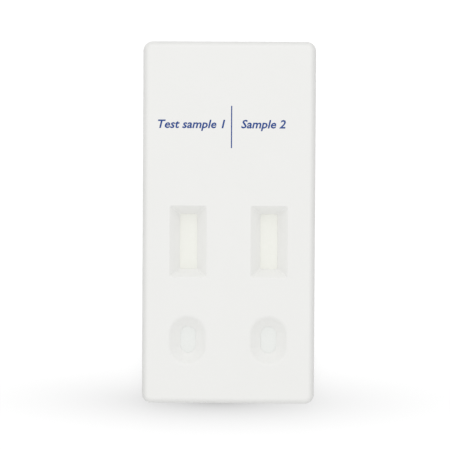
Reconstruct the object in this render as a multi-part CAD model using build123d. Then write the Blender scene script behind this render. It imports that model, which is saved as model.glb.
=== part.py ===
from build123d import *
import os

# A two-strip lateral flow cassette lying on its back.
# Millimetres. The origin is the centre of the face it rests on. +Z points out of the front face,
# +Y towards the label end and +X to the right when the label end is up.
# The housing is drawn round its strips: its width, length and height follow from theirs.

# Strip, and its place in the housing
strip_width = 4.0
strip_length = 60.0
strip_foot_margin = 5.25
strip_head_margin = 10.25
lane_spacing = 16.8

# Layers of a strip
backing_thickness = 0.3
membrane_length = 25.0
membrane_thickness = 0.2
conjugate_length = 6.0
conjugate_thickness = 0.4
conjugate_overlap = 2.0
sample_pad_length = 17.0
sample_pad_thickness = 0.8
sample_pad_overlap = 2.0
absorbent_thickness = 1.0
absorbent_overlap = 2.0
pad_ramp = 0.6

# Housing walls and edges
side_wall = 1.2
face_plate = 1.2
floor_plate = 1.2
parting_height = 2.2
face_corner_radius = 0.5
shoulder_inset = 1.5
base_round = 0.6
seam_bevel = 0.15
rim_break = 0.15
rim_break_depth = 0.07

# Locating lip round the parting line
lip_thickness = 0.55
lip_height = 0.6
lip_side_clearance = 0.07
lip_head_clearance = 0.08
lip_lead = 0.12

# Six-sided pins of the lower shell, and the round bores of their eight-sided sockets above
pin_radius = 0.8
pin_sides = 6
pin_socket_clearance = 0.03
pin_head_clearance = 0.25
pin_lead = 0.2
pin_rows = 4
socket_sides = 8
socket_wall = 0.7
socket_recess = 0.05
socket_wall_gap = 0.67
socket_rail_gap = 1.72

# Bed and rails that hold a strip in the lower shell
bed_height = 0.5
bed_rib_width = 0.8
bed_rib_pitch = 5.0
bed_spine_width = 1.0
rail_thickness = 0.8
rail_side_clearance = 0.15
rail_end_clearance = 0.3
rail_head_clearance = 0.1
rail_notch_width = 2.0
rail_notch_pitch = 12.0

# Result windows
window_pad_gap = 1.45
window_width = 3.6
window_length = 11.5
window_side_bevel = 2.15
window_end_bevel = 1.8
window_corner_radius = 0.35
window_land = 0.08
window_wall = 0.4
window_back_wall = 1.1
window_membrane_clearance = 0.02

# Sample wells
well_pad_gap = 3.0
well_width = 3.3
well_length = 5.6
well_bevel = 2.7
well_rim_reach = 0.8
well_rim_drop = 0.4
well_land = 0.06
well_wall = 0.5
well_back_wall = 1.1
well_pad_clearance = 0.02

# Nip bars under the face, which hold the pads down on the strip
nip_thickness = 0.8
nip_side_reach = 0.2
nip_clearance = 0.05
nip_least_depth = 0.55
wick_nip_count = 3
wick_nip_margin = 1.5

# Levels, from the floor up
bed_top = floor_plate + bed_height
card_top = bed_top + backing_thickness
membrane_top = card_top + membrane_thickness
conjugate_top = card_top + conjugate_thickness
sample_pad_top = card_top + sample_pad_thickness
absorbent_top = card_top + absorbent_thickness
stack_top = conjugate_top + sample_pad_thickness
ceiling = stack_top + nip_clearance + nip_least_depth
body_height = ceiling + face_plate
window_foot = membrane_top + window_membrane_clearance
rail_top = window_foot - rail_head_clearance
well_foot = sample_pad_top + well_pad_clearance

# Places across the housing
channel_half_width = strip_width / 2 + rail_side_clearance
rail_outer = channel_half_width + rail_thickness
socket_radius = pin_radius + pin_socket_clearance + socket_wall
pin_inset = side_wall + socket_wall_gap + socket_radius
half_width = lane_spacing / 2 + rail_outer + socket_rail_gap + socket_radius + pin_inset
lane_places = {"left": -lane_spacing / 2, "right": lane_spacing / 2}

# Places along the housing
half_length = (strip_foot_margin + strip_length + strip_head_margin) / 2
strip_start = strip_foot_margin - half_length
strip_end = strip_start + strip_length
sample_pad_end = strip_start + sample_pad_length
conjugate_start = sample_pad_end - sample_pad_overlap
conjugate_end = conjugate_start + conjugate_length
membrane_start = conjugate_end - conjugate_overlap
membrane_end = membrane_start + membrane_length
absorbent_start = membrane_end - absorbent_overlap
window_centre = conjugate_end + window_pad_gap + window_wall + window_length / 2
well_centre = conjugate_start - pad_ramp - well_pad_gap - well_wall - well_length / 2

corner_radius = face_corner_radius + shoulder_inset


def carried_round(profile, span_x, span_y):
    """Solid of a half profile carried round a rounded rectangle.

    The profile lies in the XZ plane with x = 0 on the corner centres. It turns about each corner
    centre and runs straight between them, span_x and span_y apart."""
    quarter_turns = {(1, 1): 0, (-1, 1): 90, (-1, -1): 180, (1, -1): 270}
    corner = revolve(profile, Axis.Z, 90)
    solids = []
    for (side_x, side_y), angle in quarter_turns.items():
        solids.append(Pos(side_x * span_x / 2, side_y * span_y / 2) * Rot(Z=angle) * corner)
    if span_y > 0:
        run = extrude(profile, span_y / 2, both=True)
        solids += [Pos(span_x / 2) * run, Pos(-span_x / 2) * Rot(Z=180) * run]
    if span_x > 0:
        run = extrude(profile, span_x / 2, both=True)
        solids += [Pos(0, span_y / 2) * Rot(Z=90) * run, Pos(0, -span_y / 2) * Rot(Z=-90) * run]
    if span_x > 0 and span_y > 0:
        box = profile.bounding_box()
        solids.append(slab(Rectangle(span_x, span_y), box.min.Z, box.max.Z))
    return Part() + solids


def slab(sketch, low, high):
    """A plan sketch drawn up from one level to another."""
    return extrude(Plane.XY.offset(low) * sketch, high - low)


def outline(inset):
    """The body's plan outline, drawn in by inset."""
    width = 2 * (half_width - inset)
    length = 2 * (half_length - inset)
    if inset < corner_radius:
        return RectangleRounded(width, length, corner_radius - inset)
    return Rectangle(width, length)


def bar(x_low, x_high, y_low, y_high, z_low, z_high):
    """A square-edged bar between the given limits."""
    centre = Pos((x_low + x_high) / 2, (y_low + y_high) / 2, (z_low + z_high) / 2)
    return centre * Box(x_high - x_low, y_high - y_low, z_high - z_low)


def evenly_spaced(pitch):
    """Places along the strip, a pitch apart and centred on it."""
    count = int(strip_length / pitch)
    middle = (strip_start + strip_end) / 2
    return [middle + (index - (count - 1) / 2) * pitch for index in range(count)]


def pin_places():
    """Plan positions of the pins: evenly spaced down both sides, and one at the middle of each end."""
    column = half_width - pin_inset
    row = half_length - pin_inset
    places = [(0, -row), (0, row)]
    for index in range(pin_rows):
        y = -row + 2 * row * index / (pin_rows - 1)
        places += [(-column, y), (column, y)]
    return places


def strip_lane():
    """Bed ribs, spine and notched rails with end stops for one strip, centred on x = 0."""
    low_end = strip_start - rail_end_clearance
    high_end = strip_end + rail_end_clearance
    low_stop = low_end - rail_thickness
    high_stop = high_end + rail_thickness
    bed = [bar(-bed_spine_width / 2, bed_spine_width / 2, low_end, high_end, floor_plate, bed_top)]
    for y in evenly_spaced(bed_rib_pitch):
        low, high = y - bed_rib_width / 2, y + bed_rib_width / 2
        bed.append(bar(-channel_half_width, channel_half_width, low, high, floor_plate, bed_top))
    cuts = [bar(-channel_half_width, channel_half_width, low_end, high_end, floor_plate, rail_top)]
    for y in evenly_spaced(rail_notch_pitch):
        low, high = y - rail_notch_width / 2, y + rail_notch_width / 2
        cuts.append(bar(-rail_outer, rail_outer, low, high, bed_top, rail_top))
    rails = bar(-rail_outer, rail_outer, low_stop, high_stop, floor_plate, rail_top) - cuts
    return rails + bed


def pin():
    """One six-sided pin, which grips its round socket along its corners."""
    post = slab(RegularPolygon(pin_radius, pin_sides), floor_plate, ceiling - pin_head_clearance)
    return chamfer(post.faces().sort_by(Axis.Z)[-1].edges(), pin_lead)


def lower_shell():
    """Back half: tray with a locating lip, pins, and a bed with rails for each strip."""
    shell = slab(outline(0), 0, parting_height)
    shell = fillet(shell.faces().sort_by(Axis.Z)[0].edges(), base_round)
    shell = chamfer(shell.faces().sort_by(Axis.Z)[-1].edges(), seam_bevel)
    lip_top = parting_height + lip_height
    lip = slab(outline(side_wall - lip_thickness), floor_plate, lip_top)
    shell += chamfer(lip.faces().sort_by(Axis.Z)[-1].edges(), lip_lead)
    shell -= slab(outline(side_wall), floor_plate, lip_top)
    lane = strip_lane()
    post = pin()
    inside = [Pos(x) * lane for x in lane_places.values()]
    inside += [Pos(x, y) * post for x, y in pin_places()]
    return shell + inside


def upper_block():
    """Outside form of the front half: an elliptical shoulder carried round the outline."""
    shoulder_foot = parting_height + seam_bevel
    rise = body_height - shoulder_foot
    with BuildSketch(Plane.XZ) as half_profile:
        with BuildLine():
            foot = Line((0, parting_height), (corner_radius - seam_bevel, parting_height))
            Line(foot @ 1, (corner_radius, shoulder_foot))
            centre = (face_corner_radius, shoulder_foot)
            shoulder = EllipticalCenterArc(centre, shoulder_inset, rise, arc_size=90)
            face = Line(shoulder @ 1, (0, body_height))
            Line(face @ 1, foot @ 0)
        make_face()
    spans = (2 * (half_width - corner_radius), 2 * (half_length - corner_radius))
    return carried_round(half_profile.sketch, *spans)


def window_frame():
    """Tapered wall that hangs below the face round one window."""
    land_top = window_foot + window_land
    share = (ceiling - land_top) / (body_height - land_top)
    head_width = window_width + 2 * (window_side_bevel * share + window_back_wall)
    head_length = window_length + 2 * (window_end_bevel * share + window_back_wall)
    foot = Rectangle(window_width + 2 * window_wall, window_length + 2 * window_wall)
    head = Rectangle(head_width, head_length)
    return loft([Plane.XY.offset(window_foot) * foot, Plane.XY.offset(ceiling) * head])


def window_cut():
    """The space of one window: a bevelled mouth with a broken rim, over a short straight land."""
    land_top = window_foot + window_land
    mouth_width = window_width + 2 * window_side_bevel
    mouth_length = window_length + 2 * window_end_bevel
    opening = RectangleRounded(window_width, window_length, window_corner_radius)
    throat = RectangleRounded(
        mouth_width - 2 * rim_break, mouth_length - 2 * rim_break, window_corner_radius
    )
    mouth = RectangleRounded(mouth_width, mouth_length, window_corner_radius + rim_break)
    rim_foot = body_height - rim_break_depth
    bevel = loft([Plane.XY.offset(land_top) * opening, Plane.XY.offset(rim_foot) * throat], ruled=True)
    rim = loft([Plane.XY.offset(rim_foot) * throat, Plane.XY.offset(body_height) * mouth], ruled=True)
    return slab(opening, window_foot, land_top) + [bevel, rim]


def well_funnel():
    """Round-ended tapered wall that hangs below the face round one well."""
    land_top = well_foot + well_land
    share = (ceiling - land_top) / (body_height - land_top)
    foot_reach = well_width / 2 + well_wall
    head_reach = well_width / 2 + well_bevel * share + well_back_wall
    with BuildSketch(Plane.XZ) as half_profile:
        Polygon((0, well_foot), (foot_reach, well_foot), (head_reach, ceiling), (0, ceiling), align=None)
    return carried_round(half_profile.sketch, 0, well_length - well_width)


def well_cut():
    """The space of one well: a rounded rim that runs on into a dish, over a short straight land."""
    opening = well_width / 2
    mouth_reach = opening + well_bevel
    land_top = (opening, well_foot + well_land)
    throat = (mouth_reach - well_rim_reach, body_height - well_rim_drop)
    with BuildSketch(Plane.XZ) as half_profile:
        with BuildLine():
            mouth = Line((0, body_height), (mouth_reach, body_height))
            rim = TangentArc(mouth @ 1, throat, tangent=(-1, 0))
            dish = TangentArc(throat, land_top, tangent=rim % 1)
            land = Line(dish @ 1, (opening, well_foot))
            foot = Line(land @ 1, (0, well_foot))
            Line(foot @ 1, mouth @ 0)
        make_face()
    return carried_round(half_profile.sketch, 0, well_length - well_width)


def nip_bars():
    """Cross bars of one lane that hold each pad overlap and the wick down."""
    tops = {
        (conjugate_start + sample_pad_end) / 2: stack_top,
        (membrane_start + conjugate_end) / 2: membrane_top + conjugate_thickness,
        (absorbent_start + membrane_end) / 2: membrane_top + absorbent_thickness,
    }
    wick_low = membrane_end + pad_ramp
    wick_high = strip_end - wick_nip_margin
    for index in range(wick_nip_count):
        tops[wick_low + (wick_high - wick_low) * (index + 1) / wick_nip_count] = absorbent_top
    reach = strip_width / 2 + nip_side_reach
    bars = []
    for y, top in tops.items():
        low, high = y - nip_thickness / 2, y + nip_thickness / 2
        bars.append(bar(-reach, reach, low, high, top + nip_clearance, ceiling))
    return bars


def upper_shell():
    """Front half: face with two windows and two wells, sockets and nip bars beneath."""
    lip_room = parting_height + lip_height + lip_head_clearance
    skirt = side_wall - lip_thickness - lip_side_clearance
    socket_foot = parting_height + socket_recess
    room = slab(outline(side_wall), parting_height, ceiling)
    lip_groove = slab(outline(skirt), parting_height, lip_room)
    block = upper_block() - [room, lip_groove]
    boss = RegularPolygon(socket_radius, socket_sides, rotation=180 / socket_sides)
    inside = [Pos(x, y) * slab(boss, socket_foot, ceiling) for x, y in pin_places()]
    bore = slab(Circle(pin_radius + pin_socket_clearance), socket_foot, ceiling)
    cuts = [Pos(x, y) * bore for x, y in pin_places()]
    frame, window = window_frame(), window_cut()
    funnel, well = well_funnel(), well_cut()
    for x in lane_places.values():
        inside += [Pos(x, window_centre) * frame, Pos(x, well_centre) * funnel]
        inside += [Pos(x) * nip for nip in nip_bars()]
        cuts += [Pos(x, window_centre) * window, Pos(x, well_centre) * well]
    return (block + inside) - cuts


def layer(points):
    """A strip layer: a side profile of (y, z) points drawn across the strip's width."""
    with BuildSketch(Plane.YZ) as profile:
        Polygon(*points, align=None)
    return extrude(profile.sketch, strip_width / 2, both=True)


def flat_layer(start, end, bottom, top):
    """A layer of even thickness."""
    return layer([(start, bottom), (end, bottom), (end, top), (start, top)])


def lapped_pad(far_end, lap_end, step_end, step, thickness):
    """Pad that lies on the card and ramps up by step where it laps over its neighbour.

    far_end is its flat end, step_end the neighbour's edge and lap_end the end that lies on it."""
    toward_far = 1 if far_end > lap_end else -1
    ramp_foot = step_end + toward_far * pad_ramp
    lap_level = card_top + step
    under = [(far_end, card_top), (ramp_foot, card_top), (step_end, lap_level), (lap_end, lap_level)]
    over = [(y, z + thickness) for y, z in reversed(under)]
    return layer(under + over)


def strip_layers():
    """The layers of one strip by name: card, membrane, and the pads that lap over each other."""
    return {
        "backing_card": flat_layer(strip_start, strip_end, bed_top, card_top),
        "membrane": flat_layer(membrane_start, membrane_end, card_top, membrane_top),
        "conjugate_pad": lapped_pad(
            conjugate_start, conjugate_end, membrane_start, membrane_thickness, conjugate_thickness
        ),
        "sample_pad": lapped_pad(
            strip_start, sample_pad_end, conjugate_start, conjugate_thickness, sample_pad_thickness
        ),
        "absorbent_pad": lapped_pad(
            strip_end, absorbent_start, membrane_end, membrane_thickness, absorbent_thickness
        ),
    }


pieces = {"upper_shell": upper_shell(), "lower_shell": lower_shell()}
for lane, x in lane_places.items():
    for name, piece in strip_layers().items():
        pieces[f"{lane}_{name}"] = Pos(x) * piece

os.makedirs("parts", exist_ok=True)
for name, piece in pieces.items():
    export_step(piece, f"parts/{name}.step")
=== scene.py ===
import math

import bmesh
import bpy
import numpy as np
from mathutils import Euler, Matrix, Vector


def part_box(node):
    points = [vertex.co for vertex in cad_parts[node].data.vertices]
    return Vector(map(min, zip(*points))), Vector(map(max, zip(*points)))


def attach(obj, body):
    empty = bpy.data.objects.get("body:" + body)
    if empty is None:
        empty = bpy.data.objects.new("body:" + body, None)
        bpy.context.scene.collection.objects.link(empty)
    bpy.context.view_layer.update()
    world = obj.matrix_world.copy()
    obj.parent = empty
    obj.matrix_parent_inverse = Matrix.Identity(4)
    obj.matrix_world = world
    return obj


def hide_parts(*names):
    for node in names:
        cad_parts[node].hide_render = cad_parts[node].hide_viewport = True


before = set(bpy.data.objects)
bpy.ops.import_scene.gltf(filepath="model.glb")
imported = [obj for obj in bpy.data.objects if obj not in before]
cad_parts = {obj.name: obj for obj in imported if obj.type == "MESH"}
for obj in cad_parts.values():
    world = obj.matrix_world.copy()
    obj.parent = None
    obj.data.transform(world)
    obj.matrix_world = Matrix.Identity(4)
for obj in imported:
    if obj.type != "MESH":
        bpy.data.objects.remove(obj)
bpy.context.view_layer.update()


# Lower shell
# The back half of the housing, injection moulded in white high-impact polystyrene. Its cavity is
# spark eroded, so the skin has a fine satin grain, over slow flow marks where the melt met itself.

mm = 0.001
shell_white = (0.87, 0.87, 0.853)
shell_flow_white = (0.855, 0.855, 0.836)
shell_skin = {"Relief": 0.0035 * mm}
grain_octaves, grain_octave_share = 3.0, 0.6
flow_octaves, flow_distortion = 2.0, 0.8
least_noise_sum, most_noise_sum = 0.7, 1.3
polystyrene_ior = 1.59
polystyrene_gloss = 0.25


def add_node(tree, kind, inputs=None, **options):
    """One node of a tree. inputs are its values, or the sockets that feed them."""
    made = tree.nodes.new(kind)
    for option, value in options.items():
        setattr(made, option, value)
    for key, value in (inputs or {}).items():
        if isinstance(value, bpy.types.NodeSocket):
            tree.links.new(value, made.inputs[key])
        else:
            made.inputs[key].default_value = value
    return made


def object_place(tree):
    """Where each point lies on its piece."""
    return add_node(tree, "ShaderNodeTexCoord").outputs["Object"]


def maths(tree, operation, *values):
    """The outcome of one sum on values or sockets."""
    return add_node(tree, "ShaderNodeMath", dict(enumerate(values)), operation=operation).outputs[0]


def mapped(tree, value, low, high, value_low=0.0, value_high=1.0):
    """A value carried evenly from its own range to another, and held to the ends of that."""
    inputs = {
        "Value": value, "From Min": value_low, "From Max": value_high, "To Min": low, "To Max": high,
    }
    return add_node(tree, "ShaderNodeMapRange", inputs).outputs["Result"]


def smooth_noise(tree, place, per_metre, octaves, **more):
    """Smooth noise from 0 to 1, with so many swings to the metre at its coarsest."""
    inputs = {"Vector": place, "Scale": per_metre, "Detail": octaves, **more}
    return add_node(tree, "ShaderNodeTexNoise", inputs).outputs["Fac"]


def bumped(tree, height, relief):
    """The normal of a skin on which a height of 1 stands for the given relief."""
    return add_node(tree, "ShaderNodeBump", {"Height": height, "Distance": relief}).outputs["Normal"]


def mixed_colour(tree, share, low, high):
    """The colour that lies between two by a share."""
    mix = add_node(tree, "ShaderNodeMix", {"Factor": share}, data_type="RGBA")
    ends = [socket for socket in mix.inputs if socket.type == "RGBA"]
    for end, colour in zip(ends, (low, high)):
        end.default_value = (*colour, 1.0)
    return next(socket for socket in mix.outputs if socket.type == "RGBA")


def effect_group(name, inputs, outputs):
    """An empty node group with named sockets. Gives its tree, what comes in and what goes out."""
    tree = bpy.data.node_groups.new(name, "ShaderNodeTree")
    for label, value in inputs.items():
        socket = tree.interface.new_socket(label, in_out="INPUT", socket_type="NodeSocketFloat")
        socket.default_value = value
    for label, kind in outputs.items():
        tree.interface.new_socket(label, in_out="OUTPUT", socket_type=kind)
    return tree, add_node(tree, "NodeGroupInput").outputs, add_node(tree, "NodeGroupOutput").inputs


def moulded_skin_group():
    """Satin skin of a moulding: a fine grain over slow flow marks, both smooth noise.

    The relief is the grain plus a share of the flow. The roughness runs between its limits with
    their sum, and the flow is given out as a mask."""
    tree, given, made = effect_group(
        "moulded_skin",
        {
            "Grains per Metre": 9000.0,
            "Flows per Metre": 110.0,
            "Flow Share": 0.6,
            "Relief": 0.002 * mm,
            "Least Roughness": 0.36,
            "Most Roughness": 0.5,
        },
        {"Flow": "NodeSocketFloat", "Roughness": "NodeSocketFloat", "Normal": "NodeSocketVector"},
    )
    place = object_place(tree)
    grain = smooth_noise(
        tree, place, given["Grains per Metre"], grain_octaves, Roughness=grain_octave_share
    )
    flow = smooth_noise(tree, place, given["Flows per Metre"], flow_octaves, Distortion=flow_distortion)
    height = maths(tree, "MULTIPLY_ADD", flow, given["Flow Share"], grain)
    roughness = mapped(
        tree, maths(tree, "ADD", flow, grain), given["Least Roughness"], given["Most Roughness"],
        least_noise_sum, most_noise_sum,
    )
    tree.links.new(flow, made["Flow"])
    tree.links.new(roughness, made["Roughness"])
    tree.links.new(bumped(tree, height, given["Relief"]), made["Normal"])
    return tree


def bare_tree(owner):
    """The node tree of a new material or world, emptied."""
    owner.use_nodes = True
    owner.node_tree.nodes.clear()
    return owner.node_tree


def new_material(name):
    """A material that holds only its Principled shader. Gives it, its tree and the shader's inputs."""
    material = bpy.data.materials.new(name)
    tree = bare_tree(material)
    shader = add_node(tree, "ShaderNodeBsdfPrincipled")
    add_node(tree, "ShaderNodeOutputMaterial", {"Surface": shader.outputs["BSDF"]})
    return material, tree, shader.inputs


def feed_shader(tree, shader, colour, roughness, normal, gloss):
    """Feeds a shader its colour, roughness and normal, and sets how strongly it reflects."""
    tree.links.new(colour, shader["Base Color"])
    tree.links.new(roughness, shader["Roughness"])
    tree.links.new(normal, shader["Normal"])
    shader["Specular IOR Level"].default_value = gloss


moulded_skin = moulded_skin_group()


def moulded_polystyrene(name, body_colour, flow_colour, skin_values):
    """White pigmented polystyrene: flow marks shift its tint, and its grain breaks up the gloss."""
    material, tree, shader = new_material(name)
    skin = add_node(tree, "ShaderNodeGroup", skin_values, node_tree=moulded_skin).outputs
    tint = mixed_colour(tree, skin["Flow"], body_colour, flow_colour)
    feed_shader(tree, shader, tint, skin["Roughness"], skin["Normal"], polystyrene_gloss)
    shader["IOR"].default_value = polystyrene_ior
    return material


def dress(node, material):
    """Gives a CAD node its finish."""
    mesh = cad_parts[node].data
    mesh.materials.clear()
    mesh.materials.append(material)


housing_plastic = moulded_polystyrene("housing_plastic", shell_white, shell_flow_white, shell_skin)
dress("lower_shell", housing_plastic)


# Backing cards
# Each strip is built up on a card of white polystyrene sheet, 4 mm wide, that lies on the ribs
# between its rails. Sheet is rolled, not moulded, so it is smoother than the housing.

lanes = ("left", "right")
card_white = (0.85, 0.85, 0.835)
card_shade = (0.835, 0.835, 0.82)
card_skin = {
    "Grains per Metre": 16000.0, "Flows per Metre": 60.0, "Relief": 0.001 * mm,
    "Least Roughness": 0.3, "Most Roughness": 0.4,
}

card_plastic = moulded_polystyrene("card_plastic", card_white, card_shade, card_skin)
for lane in lanes:
    dress(f"{lane}_backing_card", card_plastic)


# Membranes
# The membrane is porous nitrocellulose, cast as a thin film and laminated to the card. It is
# dead matt and faintly warm, and shows through its window. The test lines stay unseen until used.

membrane_white = (0.915, 0.92, 0.868)
membrane_cloud = (0.89, 0.895, 0.843)
membrane_roughness = (0.75, 0.95)
membrane_gloss = 0.2
pores_per_metre = 30000.0
pore_depth = 0.004 * mm
clouds_per_metre = 900.0
cloud_octaves = 4.0


def porous_film():
    """Matt film: tiny pores from a cell pattern make its relief, and slow clouds shift its tint."""
    material, tree, shader = new_material("porous_film")
    place = object_place(tree)
    pores = add_node(
        tree, "ShaderNodeTexVoronoi", {"Vector": place, "Scale": pores_per_metre}, feature="SMOOTH_F1"
    ).outputs["Distance"]
    clouds = smooth_noise(tree, place, clouds_per_metre, cloud_octaves)
    tint = mixed_colour(tree, clouds, membrane_white, membrane_cloud)
    roughness = mapped(tree, clouds, *membrane_roughness)
    feed_shader(tree, shader, tint, roughness, bumped(tree, pores, pore_depth), membrane_gloss)
    return material


film = porous_film()
for lane in lanes:
    dress(f"{lane}_membrane", film)


# Fibre pads
# Three soft mats lie along each strip: a cellulose sample pad that takes the drops, a thin glass
# fibre conjugate pad and a thick cotton wick. They are slit from rolls, so their edges are square,
# and each laps over the layer beside it in a short ramp.

pad_ramp = 0.6 * mm
pad_edge_radius = 0.09 * mm
pad_end_draw = 0.07 * mm
pad_spacing = 0.085 * mm
pad_crease_angle = math.radians(50)
fibre_turn_spread = 0.9
least_ridge_height = 0.5
seeds_per_lane = 10
mat_ways = (math.radians(28), math.radians(-37))
mat_octaves = 2.0
mat_roughness = (1.0, 0.85)
mat_gloss = 0.15


def rounded_section(half_width, half_height, radius, spacing):
    """Places round a rounded rectangle, evenly spaced, with the point and the outward way at each.

    A point is a corner's centre, or a place on the run between two, plus the radius outward. The
    outward way turns through a right angle at each corner and stays put along each run."""
    flat_x, flat_z = half_width - radius, half_height - radius
    bend = math.pi / 2 * radius
    stations = np.cumsum([0, 2 * flat_z, bend, 2 * flat_x, bend, 2 * flat_z, bend, 2 * flat_x, bend])
    corner_x = flat_x * np.array([1, 1, 1, -1, -1, -1, -1, 1, 1])
    corner_z = flat_z * np.array([-1, 1, 1, 1, 1, -1, -1, -1, -1])
    quarter_turns = np.array([0, 0, 1, 1, 2, 2, 3, 3, 4])
    places = np.linspace(0, stations[-1], round(stations[-1] / spacing), endpoint=False)
    angle = np.interp(places, stations, quarter_turns * math.pi / 2)
    outward = np.stack([np.cos(angle), np.sin(angle)])
    centre = np.stack([np.interp(places, stations, corner_x), np.interp(places, stations, corner_z)])
    return places, centre + radius * outward, outward


def felted_fibres(around, along, fibre_length, fibre_width, layers, seed):
    """Height, from 0 to 1, of fibres strewn on a skin that is unrolled flat.

    Each fibre is a straight ridge at a random place, turned a random way from the strip's length.
    Its height falls off as a bell across it and towards its two ends, and where ridges cross the
    highest is kept."""
    rng = np.random.default_rng(seed)
    area = np.ptp(around) * np.ptp(along)
    height = np.zeros(np.broadcast(around, along).shape)
    for _ in range(round(layers * area / (fibre_length * fibre_width))):
        turn = rng.normal(0, fibre_turn_spread)
        beside = around - rng.uniform(around.min(), around.max())
        place = rng.uniform(along.min(), along.max())
        first, last = np.searchsorted(along[:, 0], (place - fibre_length, place + fibre_length))
        ahead = along[first:last] - place
        across = beside * math.cos(turn) - ahead * math.sin(turn)
        down = beside * math.sin(turn) + ahead * math.cos(turn)
        ridge = np.exp(-((across / fibre_width) ** 2) - (2 * down / fibre_length) ** 4)
        ridge *= rng.uniform(least_ridge_height, 1.0)
        height[first:last] = np.maximum(height[first:last], ridge)
    return height


def added_object(name, data):
    """A new object of the scene that holds the data."""
    made = bpy.data.objects.new(name, data)
    bpy.context.scene.collection.objects.link(made)
    return made


def fibre_pad(name, centre_x, width, thickness, foot, far_end, lap_end, step_end, step, relief, fibres):
    """A slit pad that climbs a smooth step where it laps over its neighbour.

    A rounded section is carried along the strip. Its height follows a smooth step between the
    neighbour's edge and the ramp's foot, the skin sinks by the relief wherever no fibre lies on
    it, and the two end rows are drawn in a little less than the edge radius."""
    around, section, outward = rounded_section(width / 2, thickness / 2, pad_edge_radius, pad_spacing)
    low_end, high_end = sorted((far_end, lap_end))
    along = np.linspace(low_end, high_end, round((high_end - low_end) / pad_spacing))[:, None]
    ramp = np.clip((along - step_end) * math.copysign(1 / pad_ramp, far_end - lap_end), 0, 1)
    middle = foot + thickness / 2 + step * (1 - ramp * ramp * (3 - 2 * ramp))
    sunk = relief * (1 - felted_fibres(around, along, **fibres))
    sunk[[0, -1]] = pad_end_draw
    x = centre_x + section[0] - outward[0] * sunk
    z = middle + section[1] - outward[1] * sunk
    points = np.stack([x, np.broadcast_to(along, x.shape), z], axis=-1)
    corner = np.arange(x.size).reshape(x.shape)
    beside = np.roll(corner, -1, axis=1)
    quads = np.stack([corner[:-1], corner[1:], beside[1:], beside[:-1]], axis=-1)
    mesh = bpy.data.meshes.new(name)
    caps = [corner[0].tolist(), corner[-1, ::-1].tolist()]
    mesh.from_pydata(points.reshape(-1, 3).tolist(), [], quads.reshape(-1, 4).tolist() + caps)
    mesh.shade_smooth()
    mesh.set_sharp_from_angle(angle=pad_crease_angle)
    return added_object(name, mesh)


def fibre_mat_group():
    """Skin of a fibre mat: two noises, each drawn out along its own way, stand for crossing fibres.

    The mat is the higher of the two. It is given out as a mask and as a bumped normal."""
    tree, given, made = effect_group(
        "fibre_mat",
        {"Fibres per Metre": 20000.0, "Stretch": 0.12, "Relief": 0.01 * mm},
        {"Fibre": "NodeSocketFloat", "Normal": "NodeSocketVector"},
    )
    place = object_place(tree)
    draw = add_node(tree, "ShaderNodeCombineXYZ", {"X": 1.0, "Y": given["Stretch"], "Z": 1.0})
    ways = []
    for turn in mat_ways:
        turned = add_node(
            tree, "ShaderNodeVectorRotate", {"Vector": place, "Angle": turn}, rotation_type="Z_AXIS"
        )
        drawn = add_node(
            tree, "ShaderNodeVectorMath", {0: turned.outputs[0], 1: draw.outputs[0]},
            operation="MULTIPLY",
        )
        ways.append(smooth_noise(tree, drawn.outputs[0], given["Fibres per Metre"], mat_octaves))
    fibre = maths(tree, "MAXIMUM", *ways)
    tree.links.new(fibre, made["Fibre"])
    tree.links.new(bumped(tree, fibre, given["Relief"]), made["Normal"])
    return tree


fibre_mat = fibre_mat_group()


def fibre_stuff(name, fibre_colour, gap_shade_colour, mat_values):
    """Dead matt fibre: pale on the fibres, and darker between them, where shade is painted into the
    gaps.
    """
    material, tree, shader = new_material(name)
    mat = add_node(tree, "ShaderNodeGroup", mat_values, node_tree=fibre_mat).outputs
    # Painted shade: the gaps between the fibres take the darker colour.
    tint = mixed_colour(tree, mat["Fibre"], gap_shade_colour, fibre_colour)
    feed_shader(tree, shader, tint, mapped(tree, mat["Fibre"], *mat_roughness), mat["Normal"], mat_gloss)
    return material


# The layer that each kind of pad laps over, its slot and stuff, its relief and fill, and its fibres
pad_kinds = {
    "conjugate_pad": {
        "over": "membrane",
        "slot": "conjugate_fibre",
        "stuff": fibre_stuff("glass_fibre", (0.86, 0.76, 0.79), (0.7, 0.55, 0.6), {"Stretch": 0.08}),
        "relief": 0.02 * mm,
        "fill": 0.8,
        "fibres": {"fibre_length": 2.4 * mm, "fibre_width": 0.07 * mm, "layers": 1.2},
    },
    "sample_pad": {
        "over": "conjugate_pad",
        "slot": "sample_fibre",
        "stuff": fibre_stuff("cellulose_fibre", (0.9, 0.915, 0.9), (0.82, 0.835, 0.81), {}),
        "relief": 0.03 * mm,
        "fill": 0.9,
        "fibres": {"fibre_length": 1.6 * mm, "fibre_width": 0.1 * mm, "layers": 1.6},
    },
    "absorbent_pad": {
        "over": "membrane",
        "slot": "wick_paper",
        "stuff": fibre_stuff("cotton_wick", (0.9, 0.9, 0.87), (0.8, 0.8, 0.77), {"Relief": 0.006 * mm}),
        "relief": 0.03 * mm,
        "fill": 1.0,
        "fibres": {"fibre_length": 1.2 * mm, "fibre_width": 0.09 * mm, "layers": 1.6},
    },
}

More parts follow.
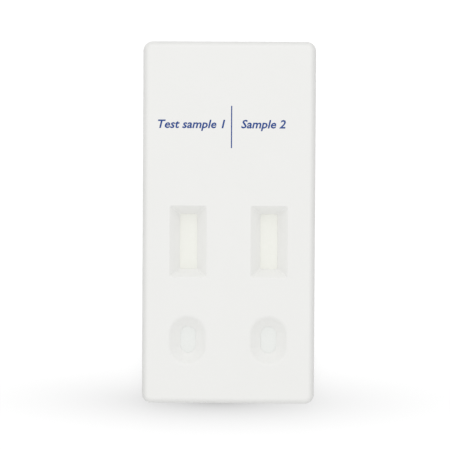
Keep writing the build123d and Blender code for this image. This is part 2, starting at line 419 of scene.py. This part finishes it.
for lane_number, lane in enumerate(lanes):
    card_low, card_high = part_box(f"{lane}_backing_card")
    membrane_low, membrane_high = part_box(f"{lane}_membrane")
    layer_above_card = {"membrane": membrane_high.z - membrane_low.z}
    for kind_number, (kind, pad) in enumerate(pad_kinds.items()):
        low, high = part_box(f"{lane}_{kind}")
        under_low, under_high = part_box(f"{lane}_{pad['over']}")
        step = layer_above_card[pad["over"]]
        thickness = high.z - low.z - step
        layer_above_card[kind] = thickness
        laps_high_end = low.y < under_low.y
        piece = fibre_pad(
            f"{lane}_{kind}_mat", (low.x + high.x) / 2, high.x - low.x, thickness, card_high.z,
            far_end=low.y if laps_high_end else high.y,
            lap_end=high.y if laps_high_end else low.y,
            step_end=under_low.y if laps_high_end else under_high.y,
            step=step, relief=pad["relief"],
            fibres={**pad["fibres"], "seed": seeds_per_lane * lane_number + kind_number},
        )
        piece.data.materials.append(pad["stuff"])
        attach(piece, "root")
        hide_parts(f"{lane}_{kind}")


# Upper shell
# The front half of the housing: the face with its two windows and two sample wells. It is moulded
# from the same polystyrene with the same grain, and its sockets press onto the lower shell's pins.

dress("upper_shell", housing_plastic)


# Face print
# The lane labels and the line between them are pad printed on the face in one blue ink. The ink
# is a film about a hundredth of a millimetre thick, a little uneven where the pad lifted away.

label_words = {"left": "Test sample 1", "right": "Sample 2"}
label_gaps = {"left": -1.25 * mm, "right": 1.9 * mm}
label_baseline = 19.62 * mm
label_cap_height = 1.76 * mm
label_stretch = 1.05
label_slant = 0.22
label_stroke_gain = 0.02
label_curve_steps = 2
font_cap_share = 0.729
divider_x = 0.48 * mm
divider_width = 0.23 * mm
divider_low, divider_high = 15.5 * mm, 24.2 * mm
weld_reach = 0.0001 * mm
ink_thickness = 0.012 * mm
ink_blue = (0.01, 0.05, 0.232)
ink_thin_blue = (0.02, 0.073, 0.292)
ink_clouds_per_metre, ink_cloud_octaves = 1500.0, 3.0
ink_mottles_per_metre, ink_mottle_octaves = 12000.0, 2.0
ink_relief = 0.001 * mm
ink_roughness = (0.3, 0.5)
ink_gloss = 0.3


def slanted_label(words, align):
    """Points and faces of a line of slanted letters, as a film one unit thick about z = 0.

    The letters have the font's own size, on the baseline y = 0. The line ends at x = 0 when it is
    aligned to the right, and starts there otherwise."""
    curve = bpy.data.curves.new("label_outline", "FONT")
    curve.body = words
    curve.align_x = align
    curve.shear = label_slant
    curve.offset = label_stroke_gain
    curve.resolution_u = label_curve_steps
    curve.extrude = 0.5
    drawn = added_object("label_outline", curve)
    mesh = bpy.data.meshes.new_from_object(drawn.evaluated_get(bpy.context.evaluated_depsgraph_get()))
    points = np.array([v.co for v in mesh.vertices])
    faces = [list(face.vertices) for face in mesh.polygons]
    bpy.data.objects.remove(drawn)
    bpy.data.curves.remove(curve)
    bpy.data.meshes.remove(mesh)
    return points, faces


def printed_face():
    """One mesh of both labels and the divider, set on the face.

    Letters are scaled to the label's cap height and drawn a little wide. The end of a label that
    faces the divider lies its gap away, and doubled points are welded to close the film."""
    face_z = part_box("upper_shell")[1].z
    scale = label_cap_height / font_cap_share
    points, faces = [], []
    count = 0
    for side, words in label_words.items():
        letters, letter_faces = slanted_label(words, "RIGHT" if side == "left" else "LEFT")
        letters = letters * [scale * label_stretch, scale, ink_thickness]
        letters += [divider_x + label_gaps[side], label_baseline, face_z + ink_thickness / 2]
        points.append(letters)
        faces += [[count + corner for corner in face] for face in letter_faces]
        count += len(letters)
    left, right = divider_x - divider_width / 2, divider_x + divider_width / 2
    plan = [(left, divider_low), (right, divider_low), (right, divider_high), (left, divider_high)]
    points.append([(x, y, z) for z in (face_z, face_z + ink_thickness) for x, y in plan])
    sides = [(0, 3, 2, 1), (4, 5, 6, 7), (0, 1, 5, 4), (1, 2, 6, 5), (2, 3, 7, 6), (3, 0, 4, 7)]
    faces += [[count + corner for corner in face] for face in sides]
    mesh = bpy.data.meshes.new("face_print")
    mesh.from_pydata(np.concatenate(points).tolist(), [], faces)
    print_film = bmesh.new()
    print_film.from_mesh(mesh)
    bmesh.ops.remove_doubles(print_film, verts=print_film.verts, dist=weld_reach)
    print_film.to_mesh(mesh)
    print_film.free()
    return added_object("face_print", mesh)


def printing_ink():
    """Satin ink film: slow clouds show where it is thinner, and a fine mottle breaks its gloss."""
    material, tree, shader = new_material("printing_ink")
    place = object_place(tree)
    clouds = smooth_noise(tree, place, ink_clouds_per_metre, ink_cloud_octaves)
    mottle = smooth_noise(tree, place, ink_mottles_per_metre, ink_mottle_octaves)
    tint = mixed_colour(tree, clouds, ink_blue, ink_thin_blue)
    roughness = mapped(tree, mottle, *ink_roughness)
    feed_shader(tree, shader, tint, roughness, bumped(tree, mottle, ink_relief), ink_gloss)
    return material


face_print = printed_face()
face_print.data.materials.append(printing_ink())
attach(face_print, "root")


# Bench
# A white table top that the cassette lies on. It keeps the cast shadow and shows as pure white where it
# is lit.
# A soft oval pool of painted shadow darkens it round the end with the wells.

bench_reach = 1.5
bench_gap = 0.02 * mm
bench_white = (0.36, 0.36, 0.36)
bench_seen_white = (0.25, 0.25, 0.25)
bench_lift = 0.865
# The pool is painted shadow: its depth, its centre, its reach each way and how fast it falls off.
pool_depth = 0.71
pool_centre = (-2.4 * mm, -37.7 * mm, 0.0)
pool_reach = (15.5 * mm, 2.25 * mm, 1.0)
pool_fall = 0.6


def seen_directly(tree):
    """1 for what the camera sees straight, in a gloss or through glass, and 0 for other light."""
    path = add_node(tree, "ShaderNodeLightPath").outputs
    straight_or_gloss = maths(tree, "MAXIMUM", path["Is Camera Ray"], path["Is Glossy Ray"])
    return maths(tree, "MAXIMUM", straight_or_gloss, path["Is Transmission Ray"])


def painted_pool_of_shade(tree):
    """Share of the light that an oval pool of painted shadow takes away.

    The distance from its centre, as a share of its reach each way, is raised to a power, and the
    share falls off from its depth as the exponential of that."""
    offset = add_node(
        tree, "ShaderNodeVectorMath", {0: object_place(tree), 1: pool_centre}, operation="SUBTRACT"
    )
    share = add_node(
        tree, "ShaderNodeVectorMath", {0: offset.outputs[0], 1: pool_reach}, operation="DIVIDE"
    )
    distance = add_node(tree, "ShaderNodeVectorMath", {0: share.outputs[0]}, operation="LENGTH")
    steepened = maths(tree, "POWER", distance.outputs["Value"], pool_fall)
    return maths(tree, "MULTIPLY", maths(tree, "POWER", math.exp(-1), steepened), pool_depth)


def lifted_white():
    """Matt white that adds a plain lift of its own where it is seen directly, less its painted pool of
    shadow.
    """
    material = bpy.data.materials.new("bench_white")
    tree = bare_tree(material)
    plain = add_node(tree, "ShaderNodeBsdfDiffuse", {"Color": (*bench_white, 1.0)})
    seen = add_node(tree, "ShaderNodeBsdfDiffuse", {"Color": (*bench_seen_white, 1.0)})
    glow = add_node(tree, "ShaderNodeEmission", {"Strength": bench_lift})
    lifted = add_node(tree, "ShaderNodeAddShader", {0: seen.outputs[0], 1: glow.outputs[0]})
    # Painted shadow: the pool dims what the camera sees of the bench.
    pooled = add_node(tree, "ShaderNodeMixShader", {0: painted_pool_of_shade(tree), 1: lifted.outputs[0]})
    either = add_node(
        tree, "ShaderNodeMixShader", {0: seen_directly(tree), 1: plain.outputs[0], 2: pooled.outputs[0]}
    )
    add_node(tree, "ShaderNodeOutputMaterial", {"Surface": either.outputs[0]})
    return material


def flat_bench():
    """One square sheet, a hair under the face that the cassette rests on."""
    mesh = bpy.data.meshes.new("bench")
    ways = ((-1, -1), (1, -1), (1, 1), (-1, 1))
    corners = [(bench_reach * x, bench_reach * y, -bench_gap) for x, y in ways]
    mesh.from_pydata(corners, [], [(0, 1, 2, 3)])
    return added_object("bench", mesh)


bench = flat_bench()
bench.data.materials.append(lifted_white())


# Studio light
# An even white surround does most of the work. A soft box high over the label end, a little to the
# left, gives the bevels their shade, and a weaker one over the other end lifts it.

surround_level = 0.88
key_level = 0.175
key_azimuth = math.radians(-6)
fill_level = 0.05
fill_azimuth = math.radians(180)
lamp_distance = 0.45
lamp_elevation = math.radians(45)
lamp_size = 0.5


def white_surround():
    """World light that shows as pure white, and lights at its own level."""
    world = bpy.data.worlds.new("white_surround")
    tree = bare_tree(world)
    strength = mapped(tree, seen_directly(tree), surround_level, 1.0)
    glow = add_node(
        tree, "ShaderNodeBackground", {"Color": (1.0, 1.0, 1.0, 1.0), "Strength": strength}
    )
    add_node(tree, "ShaderNodeOutputWorld", {"Surface": glow.outputs[0]})
    return world


def soft_box(name, level, azimuth):
    """A square lamp that faces the middle of the cassette's back.

    Its power makes a white card that faces it there render at the given level: pi squared times
    the distance squared times the level. Azimuth 0 is beyond the label end."""
    lamp = bpy.data.lights.new(name, "AREA")
    lamp.size = lamp_size
    lamp.energy = (math.pi * lamp_distance) ** 2 * level
    away = Vector((
        math.sin(azimuth) * math.cos(lamp_elevation),
        math.cos(azimuth) * math.cos(lamp_elevation),
        math.sin(lamp_elevation),
    ))
    stand = added_object(name, lamp)
    stand.location = lamp_distance * away
    stand.rotation_euler = away.to_track_quat("Z", "Y").to_euler()


bpy.context.scene.world = white_surround()
soft_box("key_lamp", key_level, key_azimuth)
soft_box("fill_lamp", fill_level, fill_azimuth)


# Camera
# A long lens a quarter of a metre over the face. It looks straight down, but for about a degree of
# tilt and lean, and is turned by a third of a degree.

camera_lens = 100.0
camera_clip = (10 * mm, 10.0)
camera_distance = 261.2 * mm
camera_aim = Vector((-0.788, -0.469, 2.5)) * mm
camera_tilt, camera_lean, camera_turn = (math.radians(angle) for angle in (-1.028, 0.628, 0.326))

lens = bpy.data.cameras.new("camera")
lens.lens = camera_lens
lens.clip_start, lens.clip_end = camera_clip
camera = added_object("camera", lens)
stance = Euler((camera_tilt, camera_lean, camera_turn))
camera.rotation_euler = stance
camera.location = camera_aim + stance.to_matrix() @ Vector((0, 0, camera_distance))
bpy.context.scene.camera = camera
bpy.context.scene.view_settings.view_transform = "Standard"
